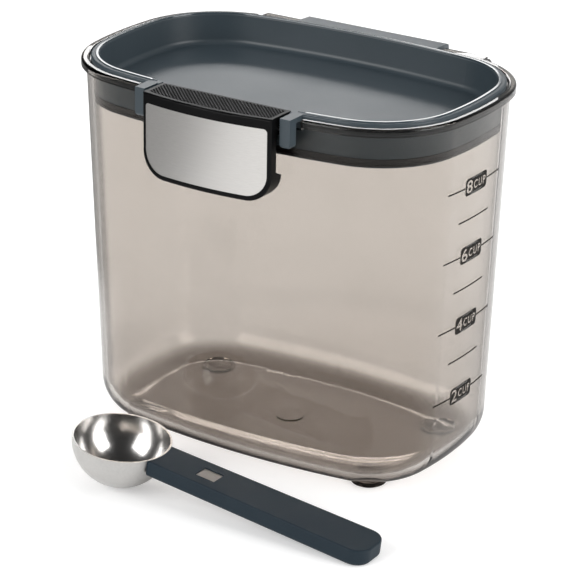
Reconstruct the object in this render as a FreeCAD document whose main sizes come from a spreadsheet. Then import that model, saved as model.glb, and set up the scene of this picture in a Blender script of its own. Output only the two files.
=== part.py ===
import FreeCAD, Part
import math
import os
from types import SimpleNamespace

import Sketcher

# Driving sizes in millimetres and degrees. Offsets are measured outward from the lid's inner edge.
SIZES = {
    # Plan outline of the lid's inner edge, in eight tangent arcs
    "half_length": 83.2,
    "half_width": 51.9,
    "end_radius": 150.0,
    "side_radius": 360.0,
    "corner_radius": 33.8,
    # Tub
    "rim_top": 163.4,
    "foot_proud": 1.8,
    "base_thickness": 3.0,
    "wall_thickness": 2.4,
    "draft_angle": 2.04,
    "bottom_radius": 17.0,
    "wall_offset": 5.6,
    "rim_offset": 7.7,
    "rim_height": 3.2,
    "lip_thickness": 3.7,
    "lip_round": 1.2,
    "lip_end_round": 2.0,
    "seat_depth": 1.5,
    "lead_round": 0.6,
    "front_gap_half": 38.0,
    "front_notch_depth": 5.0,
    "gate_radius": 6.0,
    "gate_height": 0.5,
    # Rubber feet in their bosses
    "foot_inset_x": 25.7,
    "foot_inset_y": 22.9,
    "foot_radius": 6.0,
    "foot_depth": 1.6,
    "foot_round": 0.6,
    "boss_radius": 7.4,
    "boss_proud": 0.8,
    "boss_sink": 0.6,
    # Rear hinge
    "hinge_gap": 1.3,
    "hinge_drop": 6.8,
    "knuckle_radius": 4.0,
    "barrel_half": 35.0,
    "knuckle_length": 20.3,
    "knuckle_gap": 0.3,
    "hinge_pin_radius": 1.25,
    "hinge_pin_inset": 1.0,
    "gusset_drop": 7.0,
    "knuckle_rise": 1.2,
    "web_crest_back": 2.6,
    "web_crest_rise": 6.6,
    "web_round": 1.0,
    "web_foot_rise": 2.0,
    # Lid
    "lid_proud": 0.9,
    "seat_gap": 0.2,
    "land_width": 3.6,
    "plug_offset": 1.7,
    "plug_depth": 18.3,
    "tray_depth": 13.5,
    "tray_draft": 4.0,
    "tray_round": 2.5,
    "land_round": 0.7,
    # Seal ring in the groove of the plug
    "seal_height": 3.0,
    "seal_lift": 0.6,
    "groove_depth": 1.2,
    "seal_wall_gap": 0.35,
    "seal_lip": 0.6,
    "seal_bead": 0.1,
    # Latch ears and pin
    "ear_inner": 32.5,
    "ear_width": 4.7,
    "ear_reach": 10.5,
    "ear_drop": 12.3,
    "wall_gap": 0.3,
    "ear_round": 1.6,
    "pivot_reach": 8.0,
    "pivot_drop": 4.7,
    "latch_pin_radius": 1.2,
    "latch_pin_seat": 3.2,
    # Latch
    "latch_half": 30.8,
    "latch_reach": 17.4,
    "latch_drop": 35.3,
    "latch_bow": 145.0,
    "latch_corner": 11.0,
    "latch_edge_round": 0.9,
    "pad_thickness": 3.0,
    "pad_back": 0.1,
    "notch_side_gap": 0.8,
    "notch_depth": 6.3,
    "pivot_boss": 2.7,
    "frame_depth": 10.1,
    "shell_wall": 3.6,
    "hook_reach": 6.3,
    "hook_height": 10.5,
    "hook_lead": 1.9,
    "hook_rise": 5.2,
    # Catch bead on the tub's front wall
    "catch_half": 24.0,
    "catch_drop": 23.8,
    "catch_height": 3.4,
    "catch_proud": 1.1,
    # Steel plate on the latch
    "plate_half": 29.2,
    "plate_top_drop": 4.2,
    "plate_height": 28.9,
    "plate_corner": 9.6,
    "plate_top_corner": 1.6,
    "plate_thickness": 0.8,
    "plate_gap": 0.05,
    "plate_sink": 0.15,
    # Scoop
    "bowl_radius": 20.9,
    "bowl_wall": 0.8,
    "scoop_x": -26.4,
    "scoop_y": -88.0,
    "scoop_heading": 0.25,
    "handle_reach": 123.5,
    "handle_height": 7.2,
    "handle_root_half": 8.6,
    "handle_end_half": 10.0,
    "handle_end_round": 7.0,
    "handle_top_round": 0.8,
    "handle_foot_round": 1.6,
    "handle_gap": 0.05,
    "tang_reach": 62.0,
    "tang_half": 6.0,
    "tang_depth": 3.2,
    "magnet_x": 44.0,
    "magnet_length": 9.2,
    "magnet_width": 7.2,
    "magnet_depth": 2.0,
    "magnet_sink": 0.4,
    # Running clearance of pins in bores that turn on them
    "pin_clearance": 0.05,
}

# How near a measured edge lies to the size it is looked up by
EDGE_MATCH = 0.05
OUTLINE_MATCH = 0.3


class Length:
    """A size that carries its number and the formula that binds it to the sheet."""

    def __init__(self, number, formula):
        self.number = number
        self.formula = formula

    def __add__(self, other):
        other = as_length(other)
        return Length(self.number + other.number, f"({self.formula} + {other.formula})")

    def __sub__(self, other):
        other = as_length(other)
        return Length(self.number - other.number, f"({self.formula} - {other.formula})")

    def __mul__(self, factor):
        factor = as_length(factor)
        return Length(self.number * factor.number, f"({self.formula} * {factor.formula})")

    def __neg__(self):
        return Length(-self.number, f"(0 - {self.formula})")


def as_length(value):
    """Return a Length for a plain number, and a Length as it is."""
    if isinstance(value, Length):
        return value
    return Length(value, repr(value))


def tangent(angle):
    """Return the tangent of an angle in degrees as a Length."""
    return Length(math.tan(math.radians(angle.number)), f"tan({angle.formula} * 1 deg)")


doc = FreeCAD.newDocument("coffee_container")
sheet = doc.addObject("Spreadsheet::Sheet", "Sizes")
for row, (name, number) in enumerate(SIZES.items(), start=1):
    sheet.set(f"A{row}", name)
    sheet.set(f"B{row}", str(number))
    sheet.setAlias(f"B{row}", name)
doc.recompute()

size = SimpleNamespace(**{name: Length(number, f"Sizes.{name}") for name, number in SIZES.items()})

# Heights above the table
base = size.foot_proud
floor_top = base + size.base_thickness
seat = size.rim_top - size.seat_depth
rim_bottom = size.rim_top - size.rim_height
lid_top = size.rim_top + size.lid_proud
flange_bottom = seat + size.seat_gap
plug_bottom = lid_top - size.plug_depth
hinge_height = size.rim_top - size.hinge_drop
pivot_height = lid_top - size.pivot_drop

# Offsets of the tub's drafted faces
draft = tangent(size.draft_angle)
inner_offset = size.wall_offset - size.wall_thickness
base_offset = size.wall_offset - (size.rim_top - base) * draft
lip_offset = size.rim_offset - size.lip_thickness

# Distances from the middle along Y
wall_back = size.half_width + size.wall_offset
hinge_y = wall_back + size.hinge_gap + size.knuckle_radius
pivot_y = -(size.half_width + size.pivot_reach)
latch_front = -(size.half_width + size.latch_reach)
bow_centre = latch_front + size.latch_bow
knuckle_start = size.barrel_half + size.knuckle_gap
knuckle_end = knuckle_start + size.knuckle_length
hinge_pin_half = knuckle_end - size.hinge_pin_inset
latch_pin_half = size.ear_inner + size.latch_pin_seat


def new_body(label):
    """Start a body whose label names its file."""
    body = doc.addObject("PartDesign::Body", label)
    body.Label = label
    return body


def origin_plane(body, role):
    """Return one of the body's own origin planes."""
    return [item for item in body.Origin.OriginFeatures if item.Role == role][0]


def bind(thing, prop, value):
    """Bind a property to the sheet."""
    thing.setExpression(prop, as_length(value).formula)


def new_sketch(body, name, role, shift=0.0):
    """Start a sketch on an origin plane, shifted along the plane's normal."""
    sketch = body.newObject("Sketcher::SketchObject", name)
    sketch.AttachmentSupport = [(origin_plane(body, role), "")]
    sketch.MapMode = "FlatFace"
    bind(sketch, "AttachmentOffset.Base.z", shift)
    return sketch


def point(x, y):
    return FreeCAD.Vector(as_length(x).number, as_length(y).number, 0)


def set_datum(sketch, kind, references, value):
    """Add a dimension to a sketch and bind it to the sheet."""
    value = as_length(value)
    index = sketch.addConstraint(Sketcher.Constraint(kind, *references, value.number))
    sketch.setExpression(f"Constraints[{index}]", value.formula)


def fix_point(sketch, geometry, position, x, y):
    set_datum(sketch, "DistanceX", (geometry, position), x)
    set_datum(sketch, "DistanceY", (geometry, position), y)


def add_arc(sketch, centre, radius, start, end):
    circle = Part.Circle(centre, FreeCAD.Vector(0, 0, 1), radius)
    return sketch.addGeometry(Part.ArcOfCircle(circle, start, end))


def add_circle(sketch, x, y, radius):
    circle = Part.Circle(point(x, y), FreeCAD.Vector(0, 0, 1), as_length(radius).number)
    index = sketch.addGeometry(circle)
    fix_point(sketch, index, 3, x, y)
    set_datum(sketch, "Radius", (index,), radius)


def add_polygon(sketch, corners):
    """Close straight lines through the given corners."""
    lines = []
    for here, there in zip(corners, corners[1:] + corners[:1]):
        lines.append(sketch.addGeometry(Part.LineSegment(point(*here), point(*there))))
    for line, following, corner in zip(lines, lines[1:] + lines[:1], corners):
        sketch.addConstraint(Sketcher.Constraint("Coincident", line, 2, following, 1))
        fix_point(sketch, line, 1, *corner)


def add_rectangle(sketch, x_low, y_low, x_high, y_high):
    add_polygon(sketch, [(x_low, y_low), (x_high, y_low), (x_high, y_high), (x_low, y_high)])


def corner_centre():
    """Return the centre of the corner arc that touches both the end arc and the side arc."""
    end = FreeCAD.Vector(size.half_length.number - size.end_radius.number, 0, 0)
    side = FreeCAD.Vector(0, size.half_width.number - size.side_radius.number, 0)
    to_end = size.end_radius.number - size.corner_radius.number
    to_side = size.side_radius.number - size.corner_radius.number
    apart = side - end
    along = (to_end**2 - to_side**2 + apart.Length**2) / (2 * apart.Length)
    across = math.sqrt(to_end**2 - along**2)
    unit = apart / apart.Length
    square = FreeCAD.Vector(-unit.y, unit.x, 0)
    both = [end + unit * along + square * across, end + unit * along - square * across]
    return max(both, key=lambda centre: centre.y)


def add_outline(sketch, offset):
    """Draw the eight tangent arcs that lie a given offset outside the lid's inner edge."""
    offset = as_length(offset)
    end_shift = size.end_radius - size.half_length
    side_shift = size.side_radius - size.half_width
    corner = corner_centre()
    end_angle = math.atan2(corner.y, corner.x + end_shift.number)
    side_angle = math.atan2(corner.y + side_shift.number, corner.x)
    half_turn = math.pi
    full_turn = 2 * math.pi
    end_radius = size.end_radius + offset
    side_radius = size.side_radius + offset
    corner_radius = size.corner_radius + offset
    arcs = [
        ((-end_shift.number, 0), end_radius, -end_angle, end_angle),
        ((corner.x, corner.y), corner_radius, end_angle, side_angle),
        ((0, -side_shift.number), side_radius, side_angle, half_turn - side_angle),
        ((-corner.x, corner.y), corner_radius, half_turn - side_angle, half_turn - end_angle),
        ((end_shift.number, 0), end_radius, half_turn - end_angle, half_turn + end_angle),
        ((-corner.x, -corner.y), corner_radius, half_turn + end_angle, half_turn + side_angle),
        ((0, side_shift.number), side_radius, half_turn + side_angle, full_turn - side_angle),
        ((corner.x, -corner.y), corner_radius, full_turn - side_angle, full_turn - end_angle),
    ]
    drawn = []
    for centre, radius, start, end in arcs:
        drawn.append(add_arc(sketch, point(*centre), radius.number, start, end))
        set_datum(sketch, "Radius", (drawn[-1],), radius)
    for arc, following in zip(drawn, drawn[1:] + drawn[:1]):
        sketch.addConstraint(Sketcher.Constraint("Tangent", arc, 2, following, 1))
    fix_point(sketch, drawn[0], 3, -end_shift, 0.0)
    fix_point(sketch, drawn[2], 3, 0.0, -side_shift)
    fix_point(sketch, drawn[4], 3, end_shift, 0.0)
    fix_point(sketch, drawn[6], 3, 0.0, side_shift)


def add_bow(sketch, half, radius, centre_y, outside):
    """Close the strip between an arc about a centre on the Y axis and a straight line outside it."""
    side = -1 if outside.number < centre_y.number else 1
    spread = math.asin(half.number / radius.number)
    middle = math.pi / 2 * side
    arc = add_arc(sketch, point(0.0, centre_y), radius.number, middle - spread, middle + spread)
    set_datum(sketch, "Radius", (arc,), radius)
    fix_point(sketch, arc, 3, 0.0, centre_y)
    first = half * side
    corners = [(-first, outside), (first, outside)]
    ends = [sketch.getPoint(arc, 2), sketch.getPoint(arc, 1)]
    lines = [sketch.addGeometry(Part.LineSegment(ends[0], point(*corners[0]))),
             sketch.addGeometry(Part.LineSegment(point(*corners[0]), point(*corners[1]))),
             sketch.addGeometry(Part.LineSegment(point(*corners[1]), ends[1]))]
    loop = [arc, *lines]
    for one, other in zip(loop, loop[1:] + loop[:1]):
        sketch.addConstraint(Sketcher.Constraint("Coincident", one, 2, other, 1))
    sketch.addConstraint(Sketcher.Constraint("Vertical", lines[0]))
    sketch.addConstraint(Sketcher.Constraint("Vertical", lines[2]))
    fix_point(sketch, lines[1], 1, *corners[0])
    fix_point(sketch, lines[1], 2, *corners[1])


def extrude(body, kind, sketch, length, taper=0.0, reverse=False, both_ways=False):
    """Pad or pocket a sketch by a bound length, with an optional bound taper."""
    feature = body.newObject(f"PartDesign::{kind}", f"{sketch.Name}_{kind.lower()}")
    feature.Profile = sketch
    feature.Reversed = reverse
    if both_ways:
        feature.SideType = "Symmetric"
    bind(feature, "Length", length)
    bind(feature, "TaperAngle", taper)
    before = feature.BaseFeature.Shape.Volume if feature.BaseFeature else 0.0
    doc.recompute()
    change = feature.Shape.Volume - before
    if (change > 0) != (kind == "Pad"):
        raise RuntimeError(f"{feature.Name} changed the volume by {change:.1f}")
    return feature


def pad(body, sketch, length, **options):
    return extrude(body, "Pad", sketch, length, **options)


def pocket(body, sketch, length, **options):
    return extrude(body, "Pocket", sketch, length, **options)


def round_edges(body, wanted, radius, name):
    """Fillet the edges of the body's tip that pass a test."""
    base_feature = body.Tip
    shape = base_feature.Shape
    names = [f"Edge{number}" for number, edge in enumerate(shape.Edges, start=1) if wanted(edge)]
    if not names:
        raise RuntimeError(f"{name} found no edges")
    fillet = body.newObject("PartDesign::Fillet", name)
    fillet.Base = (base_feature, names)
    bind(fillet, "Radius", radius)
    doc.recompute()
    return fillet


def mirror(body, feature, role, name):
    """Repeat a feature on the other side of an origin plane."""
    copy = body.newObject("PartDesign::Mirrored", name)
    copy.Originals = [feature]
    copy.MirrorPlane = (origin_plane(body, role), [""])
    body.Tip = copy
    doc.recompute()
    return copy


def near(value, target, tolerance=EDGE_MATCH):
    return abs(value - as_length(target).number) < tolerance


def lies_flat(edge, height):
    """Tell whether an edge lies in the plane at a height above the table."""
    box = edge.BoundBox
    return near(box.ZMin, height) and near(box.ZMax, height)


def on_outline(edge, height, offset):
    """Tell whether an edge is an arc of the outline at a given height and offset."""
    if not lies_flat(edge, height) or not isinstance(edge.Curve, Part.Circle):
        return False
    radii = [size.end_radius + offset, size.side_radius + offset, size.corner_radius + offset]
    return any(near(edge.Curve.Radius, radius, OUTLINE_MATCH) for radius in radii)


def make_tub():
    """Clear drafted tub with its rim, hinge knuckles, catch bead and foot bosses."""
    body = new_body("tub")
    block = new_sketch(body, "tub_base", "XY_Plane", base)
    add_outline(block, base_offset)
    pad(body, block, seat - base, taper=size.draft_angle)

    rim = new_sketch(body, "tub_rim", "XY_Plane", rim_bottom)
    add_outline(rim, size.rim_offset)
    pad(body, rim, size.rim_height)

    gaps = new_sketch(body, "tub_rim_gaps", "XY_Plane", rim_bottom)
    wall_radius = size.side_radius + size.wall_offset - size.rim_height * draft
    side_centre = size.half_width - size.side_radius
    far = size.half_width + size.rim_offset * 2
    add_bow(gaps, size.front_gap_half, wall_radius, -side_centre, -far)
    add_bow(gaps, knuckle_end, wall_radius, side_centre, far)
    pocket(body, gaps, size.rim_height, reverse=True)
    back_step = new_sketch(body, "tub_back_step", "XY_Plane", seat)
    add_rectangle(back_step, -knuckle_end, 0.0, knuckle_end, far)
    pocket(body, back_step, size.seat_depth, reverse=True)
    front_step = new_sketch(body, "tub_front_step", "XY_Plane", size.rim_top - size.front_notch_depth)
    add_rectangle(front_step, -size.front_gap_half, -far, size.front_gap_half, 0.0)
    pocket(body, front_step, size.front_notch_depth, reverse=True)

    round_edges(body, lambda edge: near(edge.BoundBox.XLength, 0.0) and near(edge.BoundBox.ZMax, size.rim_top)
                and near(abs(edge.BoundBox.Center.x), size.front_gap_half)
                and near(edge.BoundBox.ZLength, size.rim_height), size.lip_end_round, "tub_lip_end_round")

    arm = new_sketch(body, "tub_knuckle", "YZ_Plane", knuckle_start)
    top = hinge_height + size.knuckle_radius + size.knuckle_rise
    bottom = hinge_height - size.knuckle_radius
    gusset = bottom - size.gusset_drop
    add_polygon(arm, [(0.0, top), (hinge_y, top), (hinge_y, bottom), (size.half_width, gusset),
                      (0.0, gusset)])
    mirror(body, pad(body, arm, size.knuckle_length), "YZ_Plane", "tub_knuckle_mirror")
    eye = new_sketch(body, "tub_knuckle_eye", "YZ_Plane", knuckle_start)
    add_circle(eye, hinge_y, hinge_height, size.knuckle_radius)
    mirror(body, pad(body, eye, size.knuckle_length), "YZ_Plane", "tub_knuckle_eye_mirror")

    catch = new_sketch(body, "tub_catch", "YZ_Plane")
    catch_top = lid_top - size.catch_drop
    catch_low = catch_top - size.catch_height
    catch_front = -(wall_back - (size.rim_top - catch_top) * draft + size.catch_proud)
    add_polygon(catch, [(-size.half_width, catch_top + size.catch_proud), (catch_front, catch_top),
                        (catch_front, catch_low), (-size.half_width, catch_low - size.catch_proud)])
    pad(body, catch, size.catch_half * 2, both_ways=True)

    floor_offset = inner_offset - (size.rim_top - floor_top) * draft
    cavity = new_sketch(body, "tub_cavity", "XY_Plane", floor_top)
    add_outline(cavity, floor_offset)
    pocket(body, cavity, size.rim_top - floor_top, taper=size.draft_angle, reverse=True)
    round_edges(body, lambda edge: on_outline(edge, floor_top, floor_offset),
                size.bottom_radius - size.wall_thickness, "tub_floor_round")
    round_edges(body, lambda edge: on_outline(edge, base, base_offset),
                size.bottom_radius, "tub_bottom_round")

    ledge = new_sketch(body, "tub_seat", "XY_Plane", seat)
    add_outline(ledge, lip_offset)
    pocket(body, ledge, size.seat_depth, reverse=True)
    round_edges(body, lambda edge: on_outline(edge, size.rim_top, size.rim_offset)
                or on_outline(edge, size.rim_top, lip_offset), size.lip_round, "tub_lip_round")
    seat_offset = inner_offset - size.seat_depth * draft
    round_edges(body, lambda edge: on_outline(edge, seat, seat_offset), size.lead_round, "tub_lead_round")

    bore = new_sketch(body, "tub_hinge_bore", "YZ_Plane")
    add_circle(bore, hinge_y, hinge_height, size.hinge_pin_radius)
    pocket(body, bore, hinge_pin_half * 2, both_ways=True)

    boss = new_sketch(body, "tub_bosses", "XY_Plane", base - size.boss_proud)
    for x, y in foot_places():
        add_circle(boss, x, y, size.boss_radius)
    pad(body, boss, size.boss_proud + size.base_thickness - size.boss_sink)
    socket = new_sketch(body, "tub_foot_sockets", "XY_Plane", base - size.boss_proud)
    for x, y in foot_places():
        add_circle(socket, x, y, size.foot_radius + size.pin_clearance)
    pocket(body, socket, size.foot_depth, reverse=True)

    gate = new_sketch(body, "tub_gate_mark", "XY_Plane", floor_top)
    add_circle(gate, 0.0, 0.0, size.gate_radius)
    pad(body, gate, size.gate_height)
    return body


def foot_places():
    """Return the four places of the feet."""
    x = size.half_length - size.foot_inset_x
    y = size.half_width - size.foot_inset_y
    return [(x, y), (x, -y), (-x, y), (-x, -y)]


def make_foot(label, x, y):
    """Rubber foot, a short plug with a rounded lower edge."""
    body = new_body(label)
    disc = new_sketch(body, f"{label}_disc", "XY_Plane")
    add_circle(disc, x, y, size.foot_radius)
    pad(body, disc, base - size.boss_proud + size.foot_depth)
    round_edges(body, lambda edge: lies_flat(edge, 0.0), size.foot_round, f"{label}_round")
    return body


def make_pin(label, radius, half, y, z):
    """Straight pin along X."""
    pin = doc.addObject("Part::Cylinder", label)
    pin.Label = label
    bind(pin, "Radius", radius)
    bind(pin, "Height", half * 2)
    turn = FreeCAD.Rotation(FreeCAD.Vector(0, 1, 0), 90)
    pin.Placement = FreeCAD.Placement(FreeCAD.Vector(-half.number, y.number, z.number), turn)
    bind(pin, "Placement.Base.x", -half)
    bind(pin, "Placement.Base.y", y)
    bind(pin, "Placement.Base.z", z)
    return pin


def make_lid():
    """Lid with its sunk tray, plug, land, hinge barrel, latch ears and latch notch."""
    body = new_body("lid")
    plug = new_sketch(body, "lid_plug", "XY_Plane", plug_bottom)
    add_outline(plug, size.plug_offset)
    pad(body, plug, size.plug_depth)
    land = new_sketch(body, "lid_land", "XY_Plane", flange_bottom)
    add_outline(land, size.land_width)
    pad(body, land, lid_top - flange_bottom)
    round_edges(body, lambda edge: on_outline(edge, lid_top, size.land_width),
                size.land_round, "lid_land_round")

    web = new_sketch(body, "lid_hinge_web", "YZ_Plane")
    barrel_front = hinge_y - size.knuckle_radius
    web_end = wall_back + size.wall_gap
    web_top = lid_top - size.land_round
    crest = (hinge_y + size.web_crest_back, hinge_height + size.web_crest_rise)
    web_foot = (barrel_front, hinge_height + size.web_foot_rise)
    barrel_back = (hinge_y + size.knuckle_radius, hinge_height)
    add_polygon(web, [(0.0, flange_bottom), (0.0, web_top), (web_end, web_top), crest, barrel_back,
                      (barrel_front, hinge_height), web_foot, (web_end, flange_bottom)])
    pad(body, web, size.barrel_half * 2, both_ways=True)
    round_edges(body, lambda edge: near(edge.BoundBox.YMin, crest[0]) and near(edge.BoundBox.YMax, crest[0])
                and near(edge.BoundBox.ZMax, crest[1]), size.web_round, "lid_web_round")
    barrel = new_sketch(body, "lid_hinge_barrel", "YZ_Plane")
    add_circle(barrel, hinge_y, hinge_height, size.knuckle_radius)
    pad(body, barrel, size.barrel_half * 2, both_ways=True)
    bore = new_sketch(body, "lid_hinge_bore", "YZ_Plane")
    add_circle(bore, hinge_y, hinge_height, size.hinge_pin_radius + size.pin_clearance)
    pocket(body, bore, size.barrel_half * 2, both_ways=True)

    ear = new_sketch(body, "lid_ear", "YZ_Plane", size.ear_inner)
    ear_front = -(size.half_width + size.ear_reach)
    ear_back = -(wall_back + size.wall_gap)
    ear_low = lid_top - size.ear_drop
    add_polygon(ear, [(0.0, lid_top), (ear_front, lid_top), (ear_front, ear_low), (ear_back, ear_low),
                      (ear_back, flange_bottom), (0.0, flange_bottom)])
    mirror(body, pad(body, ear, size.ear_width), "YZ_Plane", "lid_ear_mirror")
    round_edges(body, lambda edge: lies_flat(edge, ear_low) and near(edge.BoundBox.YMin, ear_front),
                size.ear_round, "lid_ear_round")

    tray_offset = -size.tray_depth * tangent(size.tray_draft)
    tray_floor = lid_top - size.tray_depth
    tray = new_sketch(body, "lid_tray", "XY_Plane", tray_floor)
    add_outline(tray, tray_offset)
    pocket(body, tray, size.tray_depth, taper=size.tray_draft, reverse=True)
    round_edges(body, lambda edge: on_outline(edge, tray_floor, tray_offset),
                size.tray_round, "lid_tray_round")
    round_edges(body, lambda edge: on_outline(edge, lid_top, 0.0), size.land_round, "lid_inner_round")

    notch = new_sketch(body, "lid_latch_notch", "XY_Plane", lid_top - size.notch_depth)
    notch_half = size.latch_half + size.notch_side_gap
    add_rectangle(notch, -notch_half, ear_front, notch_half, 0.0)
    pocket(body, notch, size.notch_depth, reverse=True)

    groove = new_sketch(body, "lid_seal_groove", "XY_Plane", plug_bottom + size.seal_lift)
    add_outline(groove, size.plug_offset + size.groove_depth)
    add_outline(groove, size.plug_offset - size.groove_depth)
    pocket(body, groove, size.seal_height, reverse=True)

    pin_seat = new_sketch(body, "lid_latch_bore", "YZ_Plane")
    add_circle(pin_seat, pivot_y, pivot_height, size.latch_pin_radius)
    pocket(body, pin_seat, latch_pin_half * 2, both_ways=True)
    return body


def make_seal():
    """Soft ring in the plug's groove, with two thin lips that reach towards the wall."""
    body = new_body("lid_seal")
    gap = size.pin_clearance
    low = plug_bottom + size.seal_lift + gap
    height = size.seal_height - gap * 2
    wall_here = inner_offset - (size.rim_top - low) * draft
    root = size.plug_offset - size.groove_depth + gap
    ring = new_sketch(body, "seal_ring", "XY_Plane", low)
    add_outline(ring, size.plug_offset - size.seal_bead)
    add_outline(ring, root)
    pad(body, ring, height)
    for name, level in (("seal_low_lip", low), ("seal_high_lip", low + height - size.seal_lip)):
        lip = new_sketch(body, name, "XY_Plane", level)
        add_outline(lip, wall_here - size.seal_wall_gap)
        add_outline(lip, root)
        pad(body, lip, size.seal_lip)
    return body


def make_latch_block():
    """Black latch before its plate recess: thumb pad, bowed front, pivot boss and hook in one moulding."""
    body = new_body("latch_block")
    low = lid_top - size.latch_drop
    rear = size.half_width - size.pad_back
    front = new_sketch(body, "latch_front", "XZ_Plane", rear)
    add_rectangle(front, -size.latch_half, low, size.latch_half, lid_top)
    pad(body, front, size.latch_reach + size.pad_back)
    round_edges(body, lambda edge: lies_flat(edge, low)
                and near(abs(edge.BoundBox.Center.x), size.latch_half),
                size.latch_corner, "latch_corner_round")

    bow = new_sketch(body, "latch_bow_cut", "XY_Plane", low)
    add_bow(bow, size.latch_half + size.shell_wall, size.latch_bow, bow_centre, latch_front - size.shell_wall)
    pocket(body, bow, size.latch_drop, reverse=True)
    round_edges(body, on_bow, size.latch_edge_round, "latch_edge_round")

    back = new_sketch(body, "latch_back_cut", "YZ_Plane")
    pad_low = lid_top - size.pad_thickness
    boss_back = pivot_y + size.pivot_boss
    boss_low = pivot_height - size.pivot_boss
    frame_back = -(size.half_width + size.frame_depth)
    hook_back = -(size.half_width + size.hook_reach)
    hook_top = low + size.hook_height
    below = low - size.shell_wall
    add_polygon(back, [(0.0, pad_low), (boss_back, pad_low), (boss_back, pivot_height), (pivot_y, boss_low),
                       (frame_back, boss_low), (frame_back, hook_top + size.hook_lead), (hook_back, hook_top),
                       (hook_back, low + size.hook_rise), (frame_back, below), (0.0, below)])
    across = (size.latch_half + size.shell_wall) * 2
    pocket(body, back, across, both_ways=True)

    shell_low = hook_top + size.frame_depth - size.hook_reach
    shell = new_sketch(body, "latch_shell", "XY_Plane", shell_low)
    shell_half = size.latch_half - size.shell_wall
    add_bow(shell, shell_half, size.latch_bow - size.shell_wall, bow_centre, frame_back)
    pocket(body, shell, boss_low - shell_low, reverse=True)

    bore = new_sketch(body, "latch_bore", "YZ_Plane")
    add_circle(bore, pivot_y, pivot_height, size.latch_pin_radius + size.pin_clearance)
    pocket(body, bore, across, both_ways=True)
    return body


def on_bow(edge):
    """Tell whether an edge borders the latch's bowed front face."""
    middle = edge.valueAt((edge.FirstParameter + edge.LastParameter) / 2)
    return near(math.hypot(middle.x, middle.y - bow_centre.number), size.latch_bow)


def make_cylinder(label, radius):
    """Upright cylinder about the centre of the latch's bow."""
    cylinder = doc.addObject("Part::Cylinder", label)
    bind(cylinder, "Radius", radius)
    bind(cylinder, "Height", size.rim_top * 2)
    bind(cylinder, "Placement.Base.y", bow_centre)
    return cylinder


def make_plate_blank(label, gap):
    """Outline of the steel plate, enlarged by a gap, standing through the latch's front."""
    body = new_body(label)
    top = lid_top - size.plate_top_drop
    low = top - size.plate_height
    half = size.plate_half + gap
    front = new_sketch(body, f"{label}_outline", "XZ_Plane", size.half_width + size.frame_depth)
    add_rectangle(front, -half, low - gap, half, top + gap)
    pad(body, front, size.latch_reach)
    ends = (("low", low - gap, size.plate_corner), ("top", top + gap, size.plate_top_corner))
    for name, level, radius in ends:
        round_edges(body, lambda edge: lies_flat(edge, level) and near(abs(edge.BoundBox.Center.x), half),
                    radius + gap, f"{label}_{name}_round")
    return body


def combine(kind, label, base_shape, tool):
    """Join two shapes by a boolean."""
    result = doc.addObject(f"Part::{kind}", label)
    result.Label = label
    result.Base = base_shape
    result.Tool = tool
    doc.recompute()
    return result


def make_latch():
    """Return the latch moulding with its recess, and the bowed steel plate that lies in it."""
    face_radius = size.latch_bow - size.plate_sink
    back_radius = face_radius - size.plate_thickness
    plate_face = make_cylinder("plate_face", face_radius)
    plate_back = make_cylinder("plate_back", back_radius)
    bowed = combine("Common", "plate_bowed", make_plate_blank("plate_blank", 0.0), plate_face)
    plate = combine("Cut", "latch_plate", bowed, plate_back)
    recess_floor = make_cylinder("recess_floor", back_radius - size.plate_gap)
    recess = combine("Cut", "latch_recess", make_plate_blank("recess_blank", size.plate_gap), recess_floor)
    frame = combine("Cut", "latch_frame", make_latch_block(), recess)
    return frame, plate


def make_scoop_bowl():
    """Pressed steel bowl, a half sphere with a tang that runs into the handle."""
    body = new_body("scoop_bowl")
    section = new_sketch(body, "bowl_section", "XZ_Plane")
    inner = size.bowl_radius - size.bowl_wall
    quarter = (1.5 * math.pi, 2 * math.pi)
    outer_arc = add_arc(section, point(0.0, 0.0), size.bowl_radius.number, *quarter)
    inner_arc = add_arc(section, point(0.0, 0.0), inner.number, *quarter)
    low_line = section.addGeometry(Part.LineSegment(point(0.0, -size.bowl_radius), point(0.0, -inner)))
    rim_line = section.addGeometry(Part.LineSegment(point(inner, 0.0), point(size.bowl_radius, 0.0)))
    for one, one_end, other, other_end in ((outer_arc, 1, low_line, 1), (low_line, 2, inner_arc, 1),
                                           (inner_arc, 2, rim_line, 1), (rim_line, 2, outer_arc, 2)):
        section.addConstraint(Sketcher.Constraint("Coincident", one, one_end, other, other_end))
    fix_point(section, low_line, 1, 0.0, -size.bowl_radius)
    fix_point(section, low_line, 2, 0.0, -inner)
    fix_point(section, rim_line, 1, inner, 0.0)
    fix_point(section, rim_line, 2, size.bowl_radius, 0.0)
    for arc in (outer_arc, inner_arc):
        section.addConstraint(Sketcher.Constraint("PointOnObject", arc, 3, -2))
    revolution = body.newObject("PartDesign::Revolution", "bowl_revolution")
    revolution.Profile = section
    revolution.ReferenceAxis = (section, ["V_Axis"])
    revolution.Angle = 360
    doc.recompute()

    tang = new_sketch(body, "bowl_tang", "XY_Plane", -(size.tang_depth + size.bowl_wall))
    tang_start = size.bowl_radius - size.bowl_wall * 0.5
    add_rectangle(tang, tang_start, -size.tang_half, size.tang_reach, size.tang_half)
    pad(body, tang, size.bowl_wall)
    return body


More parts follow.
